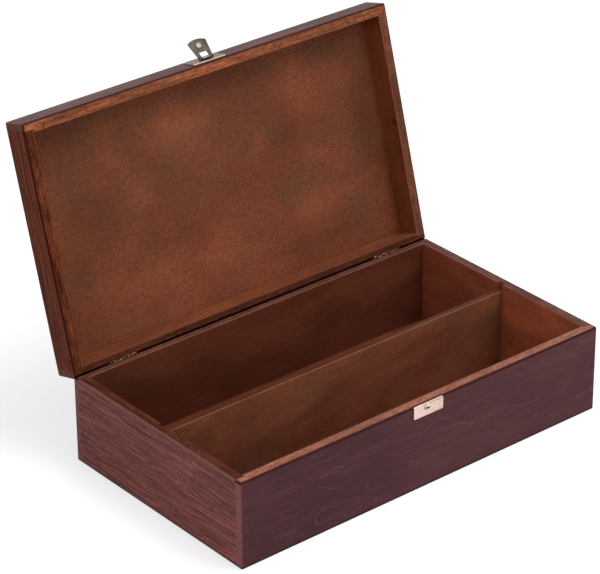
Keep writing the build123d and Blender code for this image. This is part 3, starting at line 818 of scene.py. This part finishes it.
hinge_brass = stained_hinge_brass()
brad_steel = stained_steel()
for side in ("hinge_left_", "hinge_right_"):
    for part in ("base_leaf", "lid_leaf", "pin"):
        give(side + part, hinge_brass)
give("latch_pin", brass_finish("latch brass", (140, 120, 108), (96, 82, 70), 0.4, 0.85)[0].material)
give("base_corner_brads", brad_steel)
give("lid_corner_brads", brad_steel)
print("hinges, pin and brads finished with", hinge_brass.name, "and", brad_steel.name)

# %% [markdown]
# A stamped edge is never knife sharp. The plates and the lever are copied from the frame, their doubled
# corners are merged, flat neighbours are joined, and every sharp edge gets a tiny rounding that catches the
# light. The CAD nodes stay behind them for the collisions.

# %% Softened sheet metal
EDGE_ROUNDING = 0.12 * MM
SAME_PLACE = 0.001 * MM
FLAT = radians(0.5)
SHARP = radians(30)
CREASED = radians(40)


def softened(node, body, material):
    """Makes a copy of a node with rounded edges, which stands for it."""
    shape = bmesh.new()
    shape.from_mesh(nodes[node].data)
    bmesh.ops.remove_doubles(shape, verts=shape.verts, dist=SAME_PLACE)
    bmesh.ops.dissolve_limit(shape, angle_limit=FLAT, verts=shape.verts, edges=shape.edges)
    edges = [edge for edge in shape.edges if len(edge.link_faces) == 2 and edge.calc_face_angle() > SHARP]
    bmesh.ops.bevel(shape, geom=edges, offset=EDGE_ROUNDING, segments=2, profile=0.5, affect="EDGES",
                    clamp_overlap=True)
    for face in shape.faces:
        face.smooth = True
    for edge in shape.edges:
        edge.smooth = len(edge.link_faces) != 2 or edge.calc_face_angle() < CREASED
    mesh = bpy.data.meshes.new(node + "_soft")
    shape.to_mesh(mesh)
    shape.free()
    mesh.materials.append(material)
    piece = placed(node + "_soft", mesh)
    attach(piece, body)
    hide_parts(node)
    print(node, "rounded along", len(edges), "edges,", len(mesh.polygons), "faces")


softened("catch_plate", "base", catch_brass())
softened("latch_plate", "lid", latch_plate_brass())
softened("latch_lever", "latch", lever_brass())

# %% [markdown]
# Small brass nails hold the catch, the latch plate and the hinge leaves. Each length could be a mesh of its
# own, but Geometry Nodes make them all from one shape: a short upright line has its stations moved to the
# nail's tip, shoulder, neck, brim and crown, and a circle swept along it gives one closed nail.

# %% One nail
NAIL_SIDES = 20
# The tip's radius and the taper's length against the shank's radius, the brim's height against the neck's.
TIP_SHARE = 0.1
TAPER_SHARE = 2.5
BRIM_SHARE = 0.1
# The crown's outline above the brim: share of its height, and share of the head's radius.
CROWN_OUTLINE = [(0.38, 0.93), (0.71, 0.71), (0.92, 0.4), (1.0, 0.08)]


def by_station(tree, values):
    """A value that changes from one station of the line to the next."""
    chosen = tree.nodes.new("GeometryNodeIndexSwitch")
    chosen.data_type = "FLOAT"
    while len(chosen.index_switch_items) < len(values):
        chosen.index_switch_items.new()
    feed(tree, chosen.inputs[0], add_node(tree, "GeometryNodeInputIndex", {})[0])
    for socket, value in zip(list(chosen.inputs)[1:], values):
        feed(tree, socket, value)
    return chosen.outputs[0]


def nail_stations(tree, given):
    """Height and radius of the nail at each station, from its tip to the middle of its crown."""
    def product(first, second):
        return calculated(tree, "MULTIPLY", first, second)

    head, crown, neck, shank = [given[size] for size in ("Head Radius", "Crown", "Neck", "Shank Radius")]
    tip = product(given["Length"], -1.0)
    shoulder = calculated(tree, "MULTIPLY_ADD", shank, TAPER_SHARE, tip)
    stations = [(tip, product(shank, TIP_SHARE)), (shoulder, shank), (product(neck, -1.0), shank),
                (product(neck, -BRIM_SHARE), head), (0.0, head)]
    return stations + [(product(crown, up), product(head, out)) for up, out in CROWN_OUTLINE]


def one_nail(tree, given):
    """A closed nail that stands on its tip, its brim at height 0."""
    heights, radii = zip(*nail_stations(tree, given))
    line = add_node(tree, "GeometryNodeMeshLine", {"Count": len(heights)})[0]
    upright = add_node(tree, "ShaderNodeCombineXYZ", {2: by_station(tree, heights)})[0]
    line = add_node(tree, "GeometryNodeSetPosition", {"Geometry": line, "Position": upright})[0]
    curve = add_node(tree, "GeometryNodeMeshToCurve", {0: line})[0]
    ring = add_node(tree, "GeometryNodeCurvePrimitiveCircle", {"Resolution": NAIL_SIDES, "Radius": 1.0})[0]
    sweep = {"Curve": curve, "Profile Curve": ring, "Scale": by_station(tree, radii), "Fill Caps": True}
    nail = add_node(tree, "GeometryNodeCurveToMesh", sweep)[0]
    return add_node(tree, "GeometryNodeSetShadeSmooth", {0: nail})[0]


print("a nail has", NAIL_SIDES, "sides and", len(CROWN_OUTLINE), "stations in its crown")

# %% [markdown]
# A point mesh says where each nail is driven, and its attribute called facing says which way the head looks.
# The tree sets one nail at each point, a little uneven in size and lean, as nails driven by hand are. What
# may change from one set to the next is an input with a name, the seed too. Realize Instances and Set
# Material at the end make real faces with a finish.

# %% Nail tree
NAIL_INPUTS = {"Places": "Geometry", "Head Radius": "Float", "Crown": "Float", "Neck": "Float",
               "Shank Radius": "Float", "Length": "Float", "Unevenness": "Float", "Seed": "Int",
               "Metal": "Material"}


def driven_at(tree, given, nail):
    """A nail at every point, a little uneven in size and lean."""
    facing = add_node(tree, "GeometryNodeInputNamedAttribute", {"Name": "facing"},
                      data_type="FLOAT_VECTOR")[0]
    turn = add_node(tree, "FunctionNodeAlignRotationToVector", {"Vector": facing}, axis="Z")[0]
    uneven, seed = given["Unevenness"], given["Seed"]
    smallest = calculated(tree, "SUBTRACT", 1.0, uneven)
    size = add_node(tree, "FunctionNodeRandomValue", {2: smallest, 3: 1.0, "Seed": seed},
                    data_type="FLOAT")[1]
    spots = {"Points": given["Places"], "Instance": nail, "Rotation": turn, "Scale": size}
    driven = add_node(tree, "GeometryNodeInstanceOnPoints", spots)[0]
    back = calculated(tree, "MULTIPLY", uneven, -1.0)
    least = add_node(tree, "ShaderNodeCombineXYZ", {0: back, 1: back})[0]
    most = add_node(tree, "ShaderNodeCombineXYZ", {0: uneven, 1: uneven})[0]
    lean = add_node(tree, "FunctionNodeRandomValue", {0: least, 1: most, "Seed": seed},
                    data_type="FLOAT_VECTOR")[0]
    return add_node(tree, "GeometryNodeRotateInstances", {"Instances": driven, "Rotation": lean})[0]


def nail_tree():
    """A node tree that drives a nail at every point of a mesh."""
    tree = bpy.data.node_groups.new("driven nails", "GeometryNodeTree")
    for name, kind in NAIL_INPUTS.items():
        tree.interface.new_socket(name, in_out="INPUT", socket_type="NodeSocket" + kind)
    tree.interface.new_socket("Nails", in_out="OUTPUT", socket_type="NodeSocketGeometry")
    given = add_node(tree, "NodeGroupInput", {})
    driven = driven_at(tree, given, one_nail(tree, given))
    solid = add_node(tree, "GeometryNodeRealizeInstances", {0: driven})[0]
    solid = add_node(tree, "GeometryNodeSetMaterial", {"Geometry": solid, "Material": given["Metal"]})[0]
    add_node(tree, "NodeGroupOutput", {0: solid})
    return tree


NAILS = nail_tree()
print("nail tree:", len(NAILS.nodes), "nodes")

# %% [markdown]
# Each set of nails is measured from its node in the frame, on the lid with the lid shut. The nails stand in a
# row along x, so a gap in x tells one from the next, and the box of each gives the place of its head.

# %% Where the nails are
GAP = 2.0


def nail_boxes(node, on_lid):
    """The lowest and highest corner of each nail of a node, in mm, on the lid with the lid shut."""
    turn = LID_SHUT if on_lid else Matrix.Identity(4)
    corners = [(turn @ vertex.co) / MM for vertex in nodes[node].data.vertices]
    corners.sort(key=lambda corner: corner.x)
    rows = [[corners[0]]]
    for corner in corners[1:]:
        if corner.x - rows[-1][-1].x > GAP:
            rows.append([])
        rows[-1].append(corner)
    return [[Vector([pick(axis) for axis in zip(*row)]) for pick in (min, max)] for row in rows]


def nail_places(node, on_lid, out, crown):
    """A mesh with a point at each nail's brim. out is -1 where the heads face forwards and 1 where they face
    back."""
    turn = LID_OPEN if on_lid else Matrix.Identity(4)
    places = []
    for low, high in nail_boxes(node, on_lid):
        outermost = (low if out < 0 else high).y
        middle = (low + high) / 2
        places.append(turn @ (Vector((middle.x, outermost - out * crown, middle.z)) * MM))
    mesh = bpy.data.meshes.new(node + "_driven")
    mesh.from_pydata(places, [], [])
    facing = mesh.attributes.new("facing", "FLOAT_VECTOR", "POINT")
    for value in facing.data:
        value.vector = turn.to_3x3() @ Vector((0, out, 0))
    return mesh


catch_nail_boxes = nail_boxes("catch_nails", False)
print("catch nails at x =", [round((low.x + high.x) / 2, 1) for low, high in catch_nail_boxes], "mm")

# %% [markdown]
# Now the nails are driven. The tree's inputs are set by their identifiers before it runs, the result is kept
# as a plain mesh, and the modifier is taken off again. The volume is a good test: it is only right if every
# nail is closed and its faces look outwards.

# %% Driven nails
UNEVENNESS = 0.04
PLATE_NAIL = {"Head Radius": 1.3, "Crown": 0.5, "Neck": 0.7, "Shank Radius": 0.5, "Length": 6.5}
LEAF_NAIL = {"Head Radius": 1.1, "Crown": 0.06, "Neck": 0.7, "Shank Radius": 0.45, "Length": 6.0}


def volume(mesh):
    """The volume inside a closed mesh, in cubic millimetres."""
    shape = bmesh.new()
    shape.from_mesh(mesh)
    cubic_metres = shape.calc_volume(signed=True)
    shape.free()
    return cubic_metres / MM**3


def driven_nails(node, body, metal, out, sizes, seed):
    """Makes new nails in place of a node's."""
    places = nail_places(node, body == "lid", out, sizes["Crown"])
    count = len(places.vertices)
    piece = placed(node + "_driven", places)
    modifier = piece.modifiers.new("nails", "NODES")
    modifier.node_group = NAILS
    values = {size: value * MM for size, value in sizes.items()}
    values.update({"Unevenness": UNEVENNESS, "Seed": seed, "Metal": metal})
    for socket in NAILS.interface.items_tree:
        if socket.in_out == "INPUT" and socket.name in values:
            modifier[socket.identifier] = values[socket.name]
    solid = bpy.data.meshes.new_from_object(piece.evaluated_get(bpy.context.evaluated_depsgraph_get()))
    piece.modifiers.remove(modifier)
    piece.data = solid
    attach(piece, body)
    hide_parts(node)
    print(node, count, "nails,", len(solid.polygons), "faces, volume", round(volume(solid), 1), "mm3")


nail_brass = brass_finish("nail brass", (150, 130, 118), (112, 94, 80), 0.42, 0.85)[0].material
bright_nail_brass = brass_finish("bright nail brass", (226, 200, 178), (190, 166, 144), 0.4)[0].material
driven_nails("catch_nails", "base", bright_nail_brass, -1, PLATE_NAIL, 3)
driven_nails("latch_plate_nails", "lid", nail_brass, -1, PLATE_NAIL, 5)
driven_nails("base_leaf_nails", "base", nail_brass, 1, LEAF_NAIL, 7)
driven_nails("lid_leaf_nails", "lid", nail_brass, 1, LEAF_NAIL, 11)

# %% [markdown]
# The box stands on a pale floor in a white studio. The camera sees the floor as plain white where it is fully
# lit, and the box's soft shadow on it. A white floor would throw too much light up into the box, so this one
# is grey and glows a little for the rays that look at it or mirror it, which the Light Path node tells apart.

# %% Floor
FLOOR_SIZE = 6.0
FLOOR_GREY = (0.5, 0.5, 0.5, 1.0)
FLOOR_GLOW = 0.6
WHITE = (1.0, 1.0, 1.0, 1.0)


def looking(tree):
    """1 for rays from the camera and their reflections, 0 for the light that falls on things."""
    rays = add_node(tree, "ShaderNodeLightPath", {})
    mirrored = calculated(tree, "MAXIMUM", rays["Is Glossy Ray"], rays["Is Transmission Ray"])
    return calculated(tree, "MAXIMUM", rays["Is Camera Ray"], mirrored)


def white_floor():
    recipe = Finish("studio floor")
    return recipe.done({"Base Color": FLOOR_GREY, "Roughness": 0.9, "Specular IOR Level": 0.0,
                        "Emission Color": WHITE,
                        "Emission Strength": recipe.product(looking(recipe.tree), FLOOR_GLOW)})


reach = FLOOR_SIZE / 2
floor_mesh = bpy.data.meshes.new("floor")
floor_corners = [(-reach, -reach, 0), (reach, -reach, 0), (reach, reach, 0), (-reach, reach, 0)]
floor_mesh.from_pydata(floor_corners, [], [(0, 1, 2, 3)])
floor_mesh.materials.append(white_floor())
floor = placed("floor", floor_mesh)
floor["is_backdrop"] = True
print("floor:", FLOOR_SIZE, "m square")

# %% [markdown]
# The world round the box is white in the same way: plain white to the camera and in reflections, and dimmer
# as a lamp, so that the shadows keep their depth.

# %% White surroundings
AMBIENT = 0.42

world = bpy.data.worlds.new("studio")
world.use_nodes = True
scene.world = world
studio = world.node_tree
sky = studio.nodes["Background"]
seen = calculated(studio, "MULTIPLY", looking(studio), 1.0 - AMBIENT)
feed(studio, sky.inputs["Strength"], calculated(studio, "ADD", seen, AMBIENT))
feed(studio, sky.inputs["Color"], WHITE)
print("surroundings as a lamp:", AMBIENT, "of their white")

# %% [markdown]
# Three large lamps light the box: one overhead and a little to the right, which brightens the rims and throws
# the lid rail's shadow on the panel, one low on the left for the left wall, and a weak one in front. The
# larger a lamp is, the softer its shadow.

# %% Lamps
LAMP_SIZE = 1.2
BOX_MIDDLE = Vector((0.0, 0.0, 0.1))
LAMPS = {
    "overhead lamp": ((0.5, -0.5, 1.8), 26.0),
    "left lamp": ((-2.0, -0.2, 0.7), 20.0),
    "front lamp": ((0.3, -2.2, 0.9), 8.0),
}
for name, (place, watts) in LAMPS.items():
    lamp = placed(name, bpy.data.lights.new(name, "AREA"))
    lamp.data.shape = "SQUARE"
    lamp.data.size = LAMP_SIZE
    lamp.data.energy = watts
    lamp.location = place
    lamp.rotation_euler = (Vector(place) - BOX_MIDDLE).to_track_quat("Z", "Y").to_euler()
print("lamps:", len(LAMPS), "with", sum(watts for _, watts in LAMPS.values()), "watts together")

# %% [markdown]
# The last cell prints how much the dressed model's box has grown over the frame's box, to show that the
# dressed model is as large as the frame.

# %% Compare sizes
visual_low, visual_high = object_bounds()
growth = (visual_high - visual_low) - (cad_high - cad_low)
print("grown by", [round(change / MM, 3) for change in growth], "mm")
